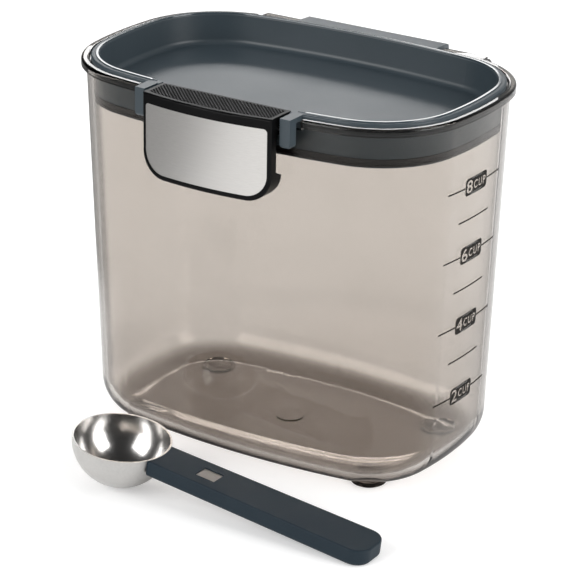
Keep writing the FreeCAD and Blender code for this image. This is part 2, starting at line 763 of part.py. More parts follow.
def make_scoop_handle():
    """Moulded handle that hugs the bowl, with a slot for the tang and a recess for the magnet."""
    body = new_body("scoop_handle")
    top = new_sketch(body, "handle_top", "XY_Plane")
    add_polygon(top, [(0.0, -size.handle_root_half), (size.handle_reach, -size.handle_end_half),
                      (size.handle_reach, size.handle_end_half), (0.0, size.handle_root_half)])
    pad(body, top, size.handle_height, reverse=True)
    round_edges(body, lambda edge: near(edge.BoundBox.XMin, size.handle_reach)
                and near(edge.BoundBox.ZLength, size.handle_height),
                size.handle_end_round, "handle_end_round")
    round_edges(body, lambda edge: lies_flat(edge, 0.0), size.handle_top_round, "handle_top_round")
    round_edges(body, lambda edge: lies_flat(edge, -size.handle_height),
                size.handle_foot_round, "handle_foot_round")
    hug = new_sketch(body, "handle_hug", "XY_Plane")
    add_circle(hug, 0.0, 0.0, size.bowl_radius + size.handle_gap)
    pocket(body, hug, size.handle_height)

    slot = new_sketch(body, "handle_slot", "YZ_Plane", size.tang_reach + size.handle_gap)
    slot_half = size.tang_half + size.handle_gap
    slot_low = -(size.tang_depth + size.bowl_wall + size.handle_gap)
    slot_top = -(size.tang_depth - size.handle_gap)
    add_rectangle(slot, -slot_half, slot_low, slot_half, slot_top)
    pocket(body, slot, size.tang_reach)
    recess = new_sketch(body, "handle_magnet_recess", "XY_Plane")
    add_magnet_outline(recess, size.handle_gap)
    pocket(body, recess, size.magnet_depth + size.magnet_sink)
    return body


def add_magnet_outline(sketch, gap):
    half_length = size.magnet_length * 0.5 + gap
    half_width = size.magnet_width * 0.5 + gap
    add_rectangle(sketch, size.magnet_x - half_length, -half_width, size.magnet_x + half_length, half_width)


def make_scoop_magnet():
    """Flat magnet, sunk a little in the top of the handle."""
    body = new_body("scoop_magnet")
    outline = new_sketch(body, "magnet_outline", "XY_Plane", -(size.magnet_depth + size.magnet_sink))
    add_magnet_outline(outline, 0.0)
    pad(body, outline, size.magnet_depth)
    return body


def scoop_placement():
    """Lay the scoop on the table, on its bowl and the end of its handle."""
    radius = size.bowl_radius.number
    foot_round = size.handle_foot_round.number
    reach = size.handle_reach.number - foot_round
    depth = size.handle_height.number - foot_round
    tilt = math.asin((radius - foot_round) / math.hypot(reach, depth)) - math.atan2(depth, reach)
    heading = FreeCAD.Rotation(FreeCAD.Vector(0, 0, 1), size.scoop_heading.number)
    lean = FreeCAD.Rotation(FreeCAD.Vector(0, 1, 0), math.degrees(tilt))
    return FreeCAD.Placement(FreeCAD.Vector(size.scoop_x.number, size.scoop_y.number, radius), heading * lean)


sub_parts = [make_tub()]
for place, (x, y) in zip(("back_right", "front_right", "back_left", "front_left"), foot_places()):
    sub_parts.append(make_foot(f"foot_{place}", x, y))
sub_parts.append(make_pin("hinge_pin", size.hinge_pin_radius, hinge_pin_half, hinge_y, hinge_height))
sub_parts += [make_lid(), make_seal()]
sub_parts.append(make_pin("latch_pin", size.latch_pin_radius, latch_pin_half, pivot_y, pivot_height))
sub_parts += make_latch()
scoop = [make_scoop_bowl(), make_scoop_handle(), make_scoop_magnet()]
for piece in scoop:
    piece.Placement = scoop_placement()
sub_parts += scoop
doc.recompute()

for item in doc.Objects:
    if "Invalid" in item.State or "Error" in item.State:
        raise RuntimeError(f"{item.Name} is {item.State}")
for part in sub_parts:
    if part.Shape.isNull() or not part.Shape.isValid():
        raise RuntimeError(f"{part.Label} has no valid shape")

os.makedirs("parts", exist_ok=True)
for part in sub_parts:
    part.Shape.exportStep(f"parts/{part.Label}.step")
    box = part.Shape.optimalBoundingBox()
    print(f"{part.Label}: {len(part.Shape.Solids)} solid, {part.Shape.Volume:.0f} mm3, {box}")
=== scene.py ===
import math

import bpy
import numpy as np
from mathutils import Matrix, Vector


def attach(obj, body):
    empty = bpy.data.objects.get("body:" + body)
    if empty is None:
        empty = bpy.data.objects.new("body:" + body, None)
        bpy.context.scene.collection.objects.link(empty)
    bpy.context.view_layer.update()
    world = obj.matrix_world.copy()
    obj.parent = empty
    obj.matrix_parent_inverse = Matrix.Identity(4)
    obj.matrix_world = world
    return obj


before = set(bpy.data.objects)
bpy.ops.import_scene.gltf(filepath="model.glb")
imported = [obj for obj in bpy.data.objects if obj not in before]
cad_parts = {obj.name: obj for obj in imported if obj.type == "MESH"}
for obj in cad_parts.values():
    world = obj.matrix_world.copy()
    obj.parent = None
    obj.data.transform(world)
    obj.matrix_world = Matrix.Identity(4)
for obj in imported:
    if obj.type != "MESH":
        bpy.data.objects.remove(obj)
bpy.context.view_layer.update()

MILLIMETRE = 0.001

# Camera, from the photo's perspective: bearing, height, roll, aim and distance in metres, and lens
CAMERA_AZIMUTH = math.radians(32.673)
CAMERA_ELEVATION = math.radians(22.266)
CAMERA_ROLL = math.radians(0.866)
CAMERA_TARGET = Vector((-0.002515, 0.0, 0.06374))
CAMERA_DISTANCE = 1.1652
CAMERA_LENS = 170.06

# Plan that the tub's end walls and the lid's tray share, in millimetres and radians
HALF_LENGTH = 83.2
HALF_WIDTH = 51.9
END_RADIUS = 150.0
END_CENTRE_X = HALF_LENGTH - END_RADIUS
END_TURN = math.radians(7.15)
SIDE_RADIUS = 360.0
SIDE_CENTRE_Y = HALF_WIDTH - SIDE_RADIUS
SIDE_TURN = math.radians(81.45)
CORNER_RADIUS = 33.8
CORNER_CENTRE = (48.49, 14.47)

# Outer face of the tub's right end wall, in millimetres: an upright arc that leans out with height
WALL_OFFSET = 5.6
RIM_TOP = 163.4
DRAFT = math.tan(math.radians(2.04))

# Printed cup scale, in millimetres up the end wall and along it
CUP_HEIGHTS = {"8": 131.0, "6": 101.2, "4": 70.2, "2": 38.1}
HALF_CUP_HEIGHTS = (116.6, 86.2, 54.6)
LONG_LINE_HALF = 20.3
SHORT_LINE_HALF = 11.7
LINE_HALF_HEIGHT = 0.34
LINE_STEPS = 48
LABEL_HALF_WIDTH = 8.5
LABEL_HALF_HEIGHT = 3.8
LABEL_CORNER = 1.6
LABEL_MARGIN = 1.2
DIGIT_HEIGHT = 5.3
DIGIT_WIDTH = 4.2
WORD_HEIGHT = 3.4
WORD_GAP = 1.1
LETTER_THICKEN = 0.10
LETTER_SPACING = 1.3
SCALE_SHIFT = -1.5
PRINT_LIFT = 0.12

# Bezier curves: the parts of a point, and the handle length that makes a quarter circle of radius 1
BEZIER_PARTS = ("co", "handle_left", "handle_right")
QUARTER_CIRCLE_PULL = 0.5523

# Top of the lid's land and of the latch, in millimetres
TOP_FACE = 164.3

# Bead on the lid's land, in millimetres: its section in shares of its width and height, and its sinking ends
BEAD_START = math.radians(5.3)
BEAD_STEPS = 235
BEAD_INNER = 0.3
BEAD_WIDTH = 1.3
BEAD_HEIGHT = 0.4
BEAD_ACROSS = np.array([[0.0, 0.0, 0.1, 0.18, 0.82, 0.9, 1.0, 1.0]])
BEAD_RISE = np.array([[-0.8, 0.7, 1.0, 1.0, 1.0, 1.0, 0.7, -0.3]])
BEAD_END_RUN = 0.2
BEAD_END_SINK = 0.1

# Thumb pad on the latch, in millimetres
PAD_HALF = 29.4
PAD_BACK_Y = -52.7
PAD_FRONT_MARGIN = 2.2
PAD_SINK = 0.15
PAD_SINK_WIDTH = 0.25
PAD_SKIN = 0.03
PAD_COLUMNS = 361
PAD_ROWS = 97
LATCH_FRONT_Y = -69.3
LATCH_BOW = 145.0
DOT_PITCH = 1.2
DOT_HEIGHT = 0.28
DOT_FADE_WIDTH = 0.6

# Dark and light tone of each material, as linear red, green and blue
SLATE_TONES = ((0.036, 0.050, 0.060), (0.041, 0.056, 0.067))
HANDLE_TONES = ((0.012, 0.021, 0.030), (0.016, 0.026, 0.035))
BLACK_TONES = ((0.002, 0.002, 0.0023), (0.004, 0.004, 0.0043))
PAD_TONES = ((0.006, 0.006, 0.0065), (0.010, 0.010, 0.0105))
RUBBER_TONES = ((0.012, 0.012, 0.013), (0.020, 0.020, 0.021))
FOOT_TONES = ((0.012, 0.012, 0.012), (0.020, 0.020, 0.020))
INK_TONES = ((0.012, 0.011, 0.010), (0.020, 0.018, 0.016))
PLATE_TONES = ((0.74, 0.72, 0.695), (0.81, 0.79, 0.765))
PIN_TONES = ((0.45, 0.45, 0.45), (0.60, 0.60, 0.60))
MAGNET_TONES = ((0.33, 0.32, 0.31), (0.39, 0.38, 0.37))
BOWL_INSIDE_TONES = ((0.70, 0.685, 0.67), (0.78, 0.765, 0.75))
# The bowl's outside is the same steel as its inside; its darker tone is painted shade
BOWL_OUTSIDE_SHADED_TONES = ((0.50, 0.49, 0.475), (0.58, 0.57, 0.555))
CLEAR_TONES = ((0.655, 0.622, 0.588), (0.677, 0.643, 0.61))

# Moulded surface: noise scales per metre, the speck's share of the mottling, and the grain's height in metres
MOTTLE_SCALE = 26.0
SPECK_SCALE = 900.0
SPECK_SHARE = 0.25
MOTTLE_RANGE = (0.35, 0.65)
GRAIN_HEIGHT = 0.0002

# Brushed surface: noise scales per metre along X, Y and Z, and the scratches' height in metres
STREAK_SCALE = (9.0, 2400.0, 5200.0)
STREAK_RANGE = (0.3, 0.7)
STREAK_HEIGHT = 0.0001

# Clear plastic: painted shade where it is seen on edge and in the rim, for the darker look of the wall on
# edge and the dark lid behind the rim, painted shade in the base for the shadowed table seen through it, the
# tint for passing lamplight, and its index of refraction
CLEAR_EDGE_PAINTED_SHADE = (0.15, 0.14, 0.13)
CLEAR_BASE_PAINTED_SHADE = (0.22, 0.19, 0.168)
CLEAR_PASSING = (0.90, 0.88, 0.865)
CLEAR_GLOSS = 0.004
CLEAR_INDEX = 1.49

# Clear plastic: facing values, and heights in metres at rim and base, between which its painted shade deepens
SLANT_RANGE = (0.56, 0.74)
RIM_RANGE = (0.1590, 0.1606)
BASE_RANGE = (0.0120, 0.0055)

# Clear plastic: heights in metres between which the lower walls take up a share of the base's painted shade,
# for the shadowed table seen through them
LOWER_SHADE_RANGE = (0.085, 0.0)
LOWER_SHADE_SHARE = 0.12

# Clear plastic: how much the faces that the first rays meet still mirror, and how far the rim is spared
FIRST_RAY_DEPTH = 1.5
FIRST_FACE_SHINE = 0.12
RIM_SPARED = 0.45

# Scoop bowl, in metres: its centre, the radius between its inner and outer faces, and the finish of each
BOWL_CENTRE = (-0.0264, -0.088, 0.0209)
BOWL_MIDDLE_RADIUS = 0.0205
BOWL_INSIDE_ROUGHNESS = 0.2
BOWL_OUTSIDE_ROUGHNESS = 0.3
BOWL_HAZE = 0.03
BOWL_HAZE_SCALE = 900.0
BOWL_HAZE_HEIGHT = 0.0001

# Rubber feet: heights in metres between which the sunk part turns pale with a painted reflection, for the
# light seen on it through its clear socket
FOOT_RANGE = (0.0023, 0.0026)
FOOT_PAINTED_REFLECTION_TONE = (0.46, 0.43, 0.41)

# Stage in metres: half width, front, back, and the backdrop's left and top
STAGE_HALF = 3.0
STAGE_FRONT = -3.0
STAGE_BACK = 1.9
BACKDROP_LEFT = -1.7
BACKDROP_TOP = 1.9

# Studio paper: its tone, its own light, and its shades in mirrored rays as measure, start, full and amount
PAPER_TONE = 0.80
PAPER_DRIFT = 0.01
PAPER_SHADE_TONE = (0.02, 0.02, 0.02)
FLOOR_GLOW = 0.30
# In mirrored rays the floor takes painted shade: by X and Y for dark surroundings beyond the paper, by reach
# for the tub's shadow on the floor under it
FLOOR_SHADES = (("X", -0.165, -0.25, 0.8), ("Y", -0.05, -0.30, 0.3), ("reach", 0.11, 0.06, 0.85))
BACKDROP_GLOW = 1.0
BACKDROP_SHADES = (("Z", 0.0, 0.3, 0.8),)

# Softboxes: place and aim in metres, width and height in metres, and power in watts
SOFTBOXES = {
    "overhead": ((0.0, 0.35, 1.35), (0.0, 0.0, 0.0), 1.5, 1.1, 5.0),
    "right_box": ((1.38, 0.04, 0.56), (0.0, 0.0, 0.05), 0.75, 1.1, 13.0),
    "back_box": ((-0.78, 1.17, 0.77), (0.0, 0.0, 0.16), 0.5, 0.08, 1.0),
    "back_strip": ((-0.375, 0.5, 0.385), (0.0, -0.05, 0.16), 0.36, 0.07, 0.33),
    "front_left_box": ((-0.58, -1.27, 0.77), (0.0, 0.0, 0.05), 1.0, 1.0, 16.0),
}
UNMIRRORED_SOFTBOX = "overhead"

# Strength of the surroundings, straight and as mirrored surfaces see them
WORLD_LEVEL = 0.42
WORLD_MIRRORED_LEVEL = 0.03


def place_camera():
    """Aim from the azimuth and elevation at the target, then roll about the line of sight."""
    back = Vector((math.sin(CAMERA_AZIMUTH) * math.cos(CAMERA_ELEVATION),
                   -math.cos(CAMERA_AZIMUTH) * math.cos(CAMERA_ELEVATION),
                   math.sin(CAMERA_ELEVATION)))
    right = Vector((math.cos(CAMERA_AZIMUTH), math.sin(CAMERA_AZIMUTH), 0.0))
    up = back.cross(right)
    turned_right = right * math.cos(CAMERA_ROLL) + up * math.sin(CAMERA_ROLL)
    turned_up = up * math.cos(CAMERA_ROLL) - right * math.sin(CAMERA_ROLL)
    data = bpy.data.cameras.new("camera")
    data.lens = CAMERA_LENS
    camera = bpy.data.objects.new("camera", data)
    bpy.context.scene.collection.objects.link(camera)
    turn = Matrix((turned_right, turned_up, back)).transposed().to_4x4()
    camera.matrix_world = Matrix.Translation(CAMERA_TARGET + back * CAMERA_DISTANCE) @ turn
    bpy.context.scene.camera = camera


# Node helpers

def add_node(tree, kind, inputs, **settings):
    """Add a shader node, set its settings, and link or set each named input."""
    made = tree.nodes.new("ShaderNode" + kind)
    for key, value in settings.items():
        setattr(made, key, value)
    for socket, value in inputs.items():
        if isinstance(value, bpy.types.NodeSocket):
            tree.links.new(value, made.inputs[socket])
        else:
            made.inputs[socket].default_value = value
    return made


def calculate(tree, operation, *values, clamp=False):
    """Result of a math node on two or three values."""
    return add_node(tree, "Math", dict(enumerate(values)), operation=operation, use_clamp=clamp).outputs[0]


def ramp(tree, value, start, end, low=0.0, high=1.0, kind="LINEAR"):
    """Value that goes from low to high while the given one goes from start to end."""
    limits = {"Value": value, "From Min": start, "From Max": end, "To Min": low, "To Max": high}
    return add_node(tree, "MapRange", limits, interpolation_type=kind).outputs[0]


def blend(tree, share, first, second, kind="RGBA"):
    """Mix of two colours or two numbers by the share of the second."""
    return add_node(tree, "Mix", {"Factor": share, "A": first, "B": second}, data_type=kind).outputs["Result"]


def object_place(tree):
    """Object coordinates, in metres."""
    return add_node(tree, "TexCoord", {}).outputs["Object"]


def mirrored_ray(tree):
    """1 for a ray that a surface has mirrored, 0 for one that has come straight or through clear plastic."""
    path = add_node(tree, "LightPath", {}).outputs
    return calculate(tree, "SUBTRACT", path["Is Glossy Ray"], path["Is Transmission Ray"], clamp=True)


def new_material(name):
    """A new node material with its tree cleared, and its output node."""
    material = bpy.data.materials.new(name)
    material.use_nodes = True
    tree = material.node_tree
    tree.nodes.clear()
    return material, tree, tree.nodes.new("ShaderNodeOutputMaterial")


# Surface groups

def new_group(name, numbers):
    """Start a surface group: two tones and the named numbers in; a colour, a roughness and a normal out."""
    group = bpy.data.node_groups.new(name, "ShaderNodeTree")
    given = {"Dark": "Color", "Light": "Color", **{label: "Float" for label in numbers}}
    for label, kind in given.items():
        group.interface.new_socket(label, in_out="INPUT", socket_type="NodeSocket" + kind)
    for label, kind in (("Colour", "Color"), ("Roughness", "Float"), ("Normal", "Vector")):
        group.interface.new_socket(label, in_out="OUTPUT", socket_type="NodeSocket" + kind)
    return group, group.nodes.new("NodeGroupInput").outputs


def finish_group(group, given, spread, relief, relief_height):
    """Let the tone and the gloss follow one spread from 0 to 1, and the normal a relief."""
    uneven = calculate(group, "SUBTRACT", spread, 0.5)
    bump = add_node(group, "Bump", {"Height": relief, "Strength": given["Depth"], "Distance": relief_height})
    results = {
        "Colour": blend(group, spread, given["Dark"], given["Light"]),
        "Roughness": calculate(group, "MULTIPLY_ADD", uneven, given["Gloss Spread"], given["Gloss"]),
        "Normal": bump.outputs["Normal"],
    }
    end = group.nodes.new("NodeGroupOutput")
    for label, value in results.items():
        group.links.new(value, end.inputs[label])
    return group


def moulded_group():
    """Moulded plastic: slow colour mottling, uneven gloss and a fine grain in the surface."""
    group, given = new_group("moulded_surface", ("Gloss", "Gloss Spread", "Grain Size", "Depth"))
    place = object_place(group)
    slow = add_node(group, "TexNoise", {"Vector": place, "Scale": MOTTLE_SCALE, "Detail": 3.0,
                                        "Roughness": 0.55})
    speck = add_node(group, "TexNoise", {"Vector": place, "Scale": SPECK_SCALE, "Detail": 2.0})
    grain = add_node(group, "TexNoise", {"Vector": place, "Scale": given["Grain Size"], "Detail": 2.0})
    slow_part = calculate(group, "MULTIPLY", slow.outputs["Fac"], 1.0 - SPECK_SHARE)
    mottling = calculate(group, "MULTIPLY_ADD", speck.outputs["Fac"], SPECK_SHARE, slow_part)
    spread = ramp(group, mottling, *MOTTLE_RANGE)
    return finish_group(group, given, spread, grain.outputs["Fac"], GRAIN_HEIGHT)


def brushed_group():
    """Brushed metal: long fine scratches along X that vary the tone, the gloss and the surface."""
    group, given = new_group("brushed_surface", ("Gloss", "Gloss Spread", "Depth"))
    drawn = add_node(group, "Mapping", {"Vector": object_place(group), "Scale": STREAK_SCALE})
    streak = add_node(group, "TexNoise", {"Vector": drawn.outputs[0], "Scale": 1.0, "Detail": 4.0,
                                          "Roughness": 0.6}).outputs["Fac"]
    return finish_group(group, given, ramp(group, streak, *STREAK_RANGE), streak, STREAK_HEIGHT)


MOULDED = moulded_group()
BRUSHED = brushed_group()


def use_group(tree, group, tones, numbers):
    """Place a surface group in a material, and return its results under the names of the shader's inputs."""
    given = {"Dark": (*tones[0], 1), "Light": (*tones[1], 1), **numbers}
    surface = add_node(tree, "Group", given, node_tree=group).outputs
    return {"Base Color": surface["Colour"], "Roughness": surface["Roughness"], "Normal": surface["Normal"]}


def add_surface(tree, output, inputs):
    """Principled shader on a material's surface."""
    shader = add_node(tree, "BsdfPrincipled", inputs)
    tree.links.new(shader.outputs[0], output.inputs["Surface"])


# Materials

def plastic(name, tones, gloss, gloss_spread=0.08, grain_size=2600.0, depth=0.1, specular=0.5):
    """Opaque moulded plastic or rubber."""
    material, tree, output = new_material(name)
    surface = use_group(tree, MOULDED, tones, {"Gloss": gloss, "Gloss Spread": gloss_spread,
                                               "Grain Size": grain_size, "Depth": depth})
    add_surface(tree, output, {**surface, "Specular IOR Level": specular})
    return material


def steel(name, tones, gloss, gloss_spread=0.1, depth=0.1, anisotropic=0.0):
    """Brushed or drawn steel."""
    material, tree, output = new_material(name)
    surface = use_group(tree, BRUSHED, tones, {"Gloss": gloss, "Gloss Spread": gloss_spread, "Depth": depth})
    add_surface(tree, output, {**surface, "Metallic": 1.0, "Anisotropic": anisotropic})
    return material


def clear_plastic():
    """Smoked clear plastic: glass with painted shade in the base, the lower walls, the rim and where it is
    seen on edge, which mirrors less on the faces that the first rays meet, and which is tinted air for lamps."""
    material, tree, output = new_material("smoked_clear_plastic")
    surface = use_group(tree, MOULDED, CLEAR_TONES, {"Gloss": CLEAR_GLOSS, "Gloss Spread": CLEAR_GLOSS,
                                                     "Grain Size": 70.0, "Depth": 0.003})
    height = add_node(tree, "SeparateXYZ", {0: object_place(tree)}).outputs["Z"]
    facing = add_node(tree, "LayerWeight", {"Blend": 0.5}).outputs["Facing"]
    # Painted shade: darker where the wall is seen on edge and in the rim, which stands for the dark lid
    # behind it
    slant = ramp(tree, facing, *SLANT_RANGE, kind="SMOOTHSTEP")
    rim = ramp(tree, height, *RIM_RANGE, kind="SMOOTHSTEP")
    base = ramp(tree, height, *BASE_RANGE, kind="SMOOTHSTEP")
    edge_shade_share = calculate(tree, "MAXIMUM", slant, rim)
    walls = blend(tree, edge_shade_share, surface["Base Color"], (*CLEAR_EDGE_PAINTED_SHADE, 1))
    # Painted shade: darker in the base and, in a small share, the lower walls, for the shadowed table seen
    # through them
    lower = ramp(tree, height, *LOWER_SHADE_RANGE, high=LOWER_SHADE_SHARE)
    base_shade_share = calculate(tree, "MAXIMUM", base, lower)
    tint = blend(tree, base_shade_share, walls, (*CLEAR_BASE_PAINTED_SHADE, 1))
    path = add_node(tree, "LightPath", {}).outputs
    first_ray = calculate(tree, "LESS_THAN", path["Ray Depth"], FIRST_RAY_DEPTH)
    below_rim = calculate(tree, "MULTIPLY_ADD", rim, -RIM_SPARED, 1.0)
    dulled = calculate(tree, "MULTIPLY", first_ray, below_rim)
    shine = ramp(tree, dulled, 0.0, 1.0, low=1.0, high=FIRST_FACE_SHINE)
    glass = add_node(tree, "BsdfPrincipled", {**surface, "Base Color": tint, "Specular Tint": shine,
                                              "IOR": CLEAR_INDEX, "Transmission Weight": 1.0})
    passing = add_node(tree, "BsdfTransparent", {"Color": (*CLEAR_PASSING, 1)})
    lamp_ray = calculate(tree, "MAXIMUM", path["Is Shadow Ray"], path["Is Diffuse Ray"])
    mixed = add_node(tree, "MixShader", {0: lamp_ray, 1: glass.outputs[0], 2: passing.outputs[0]})
    tree.links.new(mixed.outputs[0], output.inputs["Surface"])
    return material


def bowl_steel():
    """Pressed steel bowl: polished inside its middle radius, satin outside in a darker tone that is painted
    shade, with a fine haze over both.
    """
    material, tree, output = new_material("bowl_steel")
    place = object_place(tree)
    reach = add_node(tree, "VectorMath", {0: place, 1: BOWL_CENTRE}, operation="DISTANCE").outputs["Value"]
    outside = calculate(tree, "GREATER_THAN", reach, BOWL_MIDDLE_RADIUS)
    noise = add_node(tree, "TexNoise", {"Vector": place, "Scale": BOWL_HAZE_SCALE, "Detail": 3.0})
    haze = noise.outputs["Fac"]
    drift = ramp(tree, haze, 0.0, 1.0, low=-BOWL_HAZE, high=BOWL_HAZE)
    finish = blend(tree, outside, BOWL_INSIDE_ROUGHNESS, BOWL_OUTSIDE_ROUGHNESS, kind="FLOAT")
    tones = [blend(tree, haze, (*dark, 1), (*light, 1))
             for dark, light in (BOWL_INSIDE_TONES, BOWL_OUTSIDE_SHADED_TONES)]
    bump = add_node(tree, "Bump", {"Height": haze, "Strength": BOWL_HAZE, "Distance": BOWL_HAZE_HEIGHT})
    add_surface(tree, output, {"Base Color": blend(tree, outside, *tones),
                               "Roughness": calculate(tree, "ADD", finish, drift),
                               "Normal": bump.outputs["Normal"], "Metallic": 1.0})
    return material


def foot_rubber():
    """Rubber foot: black where it stands on the table, with a pale painted reflection where it is seen
    through its clear socket.
    """
    material, tree, output = new_material("foot_rubber")
    surface = use_group(tree, MOULDED, FOOT_TONES, {"Gloss": 0.6, "Gloss Spread": 0.15,
                                                    "Grain Size": 1600.0, "Depth": 0.1})
    height = add_node(tree, "SeparateXYZ", {0: object_place(tree)}).outputs["Z"]
    # Painted reflection: the sunk part, seen through the clear socket, turns pale
    sunk = ramp(tree, height, *FOOT_RANGE)
    colour = blend(tree, sunk, surface["Base Color"], (*FOOT_PAINTED_REFLECTION_TONE, 1))
    add_surface(tree, output, {**surface, "Base Color": colour})
    return material


def dress_nodes():
    """Give each carried-over node its material."""
    slate = plastic("slate_plastic", SLATE_TONES, gloss=0.40, gloss_spread=0.05, depth=0.012)
    handle = plastic("slate_handle", HANDLE_TONES, gloss=0.46, gloss_spread=0.06, depth=0.02, specular=0.14)
    black = plastic("black_gloss", BLACK_TONES, gloss=0.38, depth=0.02, specular=0.1)
    rubber = plastic("black_rubber", RUBBER_TONES, gloss=0.6, gloss_spread=0.15, grain_size=1600.0, depth=0.2)
    plate = steel("plate_steel", PLATE_TONES, gloss=0.30, gloss_spread=0.05, depth=0.03, anisotropic=0.6)
    pin = steel("pin_steel", PIN_TONES, gloss=0.25)
    magnet = steel("magnet_plate", MAGNET_TONES, gloss=0.5, depth=0.05)
    foot = foot_rubber()
    choice = {
        "tub": clear_plastic(),
        "lid": slate,
        "lid_seal": rubber,
        "hinge_pin": pin,
        "latch_pin": pin,
        "latch_frame": black,
        "latch_plate": plate,
        "scoop_bowl": bowl_steel(),
        "scoop_handle": handle,
        "scoop_magnet": magnet,
        "foot_back_right": foot,
        "foot_front_right": foot,
        "foot_back_left": foot,
        "foot_front_left": foot,
    }
    for name, material in choice.items():
        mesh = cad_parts[name].data
        mesh.materials.clear()
        mesh.materials.append(material)


# Mesh helpers

def grid_faces(rows, columns):
    """Corner numbers of the four-sided faces of a grid stored row by row."""
    first = (np.arange(rows - 1)[:, None] * columns + np.arange(columns - 1)[None, :]).ravel()
    return np.stack([first, first + columns, first + columns + 1, first + 1], axis=1).tolist()


def add_piece(name, points, faces, material, body):
    """Make a smooth mesh piece from points in millimetres, and let it ride on a body."""
    mesh = bpy.data.meshes.new(name)
    mesh.from_pydata((points * MILLIMETRE).tolist(), [], faces)
    mesh.shade_smooth()
    mesh.materials.append(material)
    piece = bpy.data.objects.new(name, mesh)
    bpy.context.scene.collection.objects.link(piece)
    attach(piece, body)


# Printed cup scale

def on_end_wall(along, up):
    """Points a little proud of the end wall: the arc's radius grows with height, and along is arc length."""
    radius = END_RADIUS + WALL_OFFSET - (RIM_TOP - up) * DRAFT + PRINT_LIFT
    angle = along / radius
    return np.stack([END_CENTRE_X + radius * np.cos(angle), radius * np.sin(angle), up], axis=1)


def scale_line(start, end, height):
    """Flat grid for one line of the scale, from start to end along the wall: (along, up) points and faces."""
    along = np.linspace(start, end, LINE_STEPS)
    up = height + np.array([-LINE_HALF_HEIGHT, LINE_HALF_HEIGHT])
    flat = np.stack(np.meshgrid(along, up, indexing="ij"), axis=2).reshape(-1, 2)
    return flat, grid_faces(LINE_STEPS, len(up))


def glyph_splines(text, left, width, height):
    """Bezier outlines of a text fitted in a box that starts at left and straddles zero, as point triples."""
    curve = bpy.data.curves.new("glyphs", "FONT")
    curve.body = text
    curve.space_character = LETTER_SPACING
    holder = bpy.data.objects.new("glyphs", curve)
    bpy.context.scene.collection.objects.link(holder)
    bpy.ops.object.select_all(action="DESELECT")
    bpy.context.view_layer.objects.active = holder
    holder.select_set(True)
    bpy.ops.object.convert(target="CURVE")
    holder = bpy.context.view_layer.objects.active
    outlines = []
    for spline in holder.data.splines:
        count = len(spline.bezier_points)
        triple = np.zeros((len(BEZIER_PARTS), count * 3))
        for row, part in enumerate(BEZIER_PARTS):
            spline.bezier_points.foreach_get(part, triple[row])
        outlines.append(triple.reshape(len(BEZIER_PARTS), count, 3))
    bpy.data.objects.remove(holder)
    low = np.min([outline[0].min(axis=0) for outline in outlines], axis=0)
    high = np.max([outline[0].max(axis=0) for outline in outlines], axis=0)
    scale = np.array([width / (high[0] - low[0]), height / (high[1] - low[1]), 1.0])
    middle = np.array([low[0], (low[1] + high[1]) / 2, 0.0])
    return [(outline - middle) * scale + np.array([left, 0.0, 0.0]) for outline in outlines]


def rounded_rectangle(half_width, half_height, corner):
    """Bezier outline of a rounded rectangle: two points per corner, with handles of a quarter circle."""
    pull = QUARTER_CIRCLE_PULL * corner
    points, before, after = [], [], []
    for sign_x, sign_y, end_first in ((1, 1, False), (-1, 1, True), (-1, -1, False), (1, -1, True)):
        side = np.array([sign_x * half_width, sign_y * (half_height - corner), 0.0])
        end = np.array([sign_x * (half_width - corner), sign_y * half_height, 0.0])
        along_side = np.array([0.0, sign_y * pull, 0.0])
        along_end = np.array([sign_x * pull, 0.0, 0.0])
        pair = [(side, side - along_side, side + along_side), (end, end + along_end, end - along_end)]
        if end_first:
            pair = [(end, end - along_end, end + along_end), (side, side + along_side, side - along_side)]
        for place, arrive, leave in pair:
            points.append(place)
            before.append(arrive)
            after.append(leave)
    return np.array([points, before, after])


def label_mesh(digit):
    """Rounded label with digit and word cut out of it: (along, up) points about its middle, and faces."""
    digit_left = LABEL_MARGIN - LABEL_HALF_WIDTH
    word_left = digit_left + DIGIT_WIDTH + WORD_GAP
    digit_lines = glyph_splines(digit, digit_left, DIGIT_WIDTH, DIGIT_HEIGHT)
    word_lines = glyph_splines("CUP", word_left, LABEL_HALF_WIDTH - LABEL_MARGIN - word_left, WORD_HEIGHT)
    border = rounded_rectangle(LABEL_HALF_WIDTH, LABEL_HALF_HEIGHT, LABEL_CORNER)
    curve = bpy.data.curves.new("label", "CURVE")
    curve.dimensions = "2D"
    curve.fill_mode = "BOTH"
    curve.offset = -LETTER_THICKEN
    for triple in [border] + digit_lines + word_lines:
        spline = curve.splines.new("BEZIER")
        spline.bezier_points.add(triple.shape[1] - 1)
        for point in spline.bezier_points:
            point.handle_left_type = "FREE"
            point.handle_right_type = "FREE"
        for row, part in enumerate(BEZIER_PARTS):
            spline.bezier_points.foreach_set(part, triple[row].ravel())
        spline.use_cyclic_u = True
    holder = bpy.data.objects.new("label", curve)
    bpy.context.scene.collection.objects.link(holder)
    made = bpy.data.meshes.new_from_object(holder)
    places = np.zeros(len(made.vertices) * 3)
    made.vertices.foreach_get("co", places)
    faces = [list(polygon.vertices) for polygon in made.polygons]
    bpy.data.objects.remove(holder)
    return places.reshape(-1, 3)[:, :2], faces


def add_cup_scale():
    """Printed scale on the right end wall: long lines with a label at each two cups, short lines between."""
    marks = []
    for digit, height in CUP_HEIGHTS.items():
        marks.append(scale_line(-LONG_LINE_HALF, -LABEL_HALF_WIDTH, height))
        marks.append(scale_line(LABEL_HALF_WIDTH, LONG_LINE_HALF, height))
        flat, corners = label_mesh(digit)
        marks.append((flat + np.array([0.0, height]), corners))
    for height in HALF_CUP_HEIGHTS:
        marks.append(scale_line(-SHORT_LINE_HALF, SHORT_LINE_HALF, height))
    faces, count = [], 0
    for flat, corners in marks:
        faces += [[corner + count for corner in face] for face in corners]
        count += len(flat)
    along, up = np.concatenate([flat for flat, corners in marks]).T
    ink = plastic("scale_ink", INK_TONES, gloss=0.6, specular=0.05)
    add_piece("cup_scale", on_end_wall(along + SCALE_SHIFT, up), faces, ink, "tub")


# Thumb pad and bead

